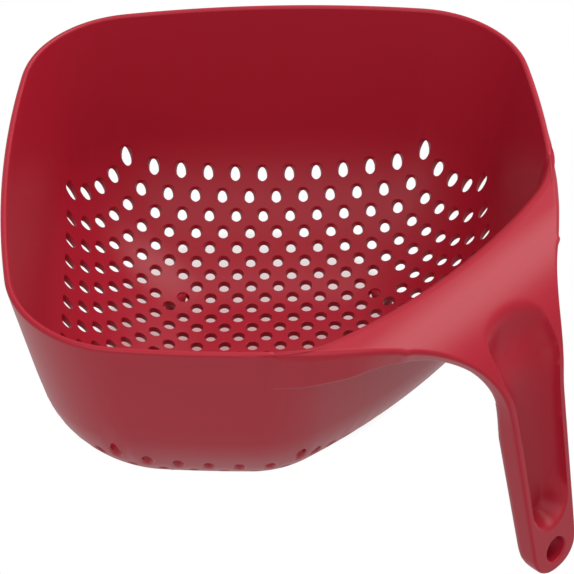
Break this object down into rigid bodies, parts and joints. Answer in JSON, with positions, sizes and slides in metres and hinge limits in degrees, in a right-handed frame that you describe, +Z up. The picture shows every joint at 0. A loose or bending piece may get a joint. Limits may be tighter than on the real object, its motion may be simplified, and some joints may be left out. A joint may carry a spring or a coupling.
{
  "type": "colander",
  "caption": "Square plastic colander with a perforated belly; a corner is drawn over a hood into a downward grip with a thumb trough and a hanging hole.",
  "frame": {"origin": "middle of the bounding box in plan, on the surface that the feet and the end of the grip stand on", "axes": "+X from the bowl to the handle, +Z up; the part is symmetric about the XZ plane"},
  "size_m": [0.302, 0.2768, 0.13],
  "materials": {
    "plastic": "satin moulded plastic, crimson"
  },
  "bodies": {
    "root": {"bowl": "plastic", "handle": "plastic", "foot_rear": "plastic", "foot_left": "plastic", "foot_right": "plastic"}
  },
  "joints": []
}
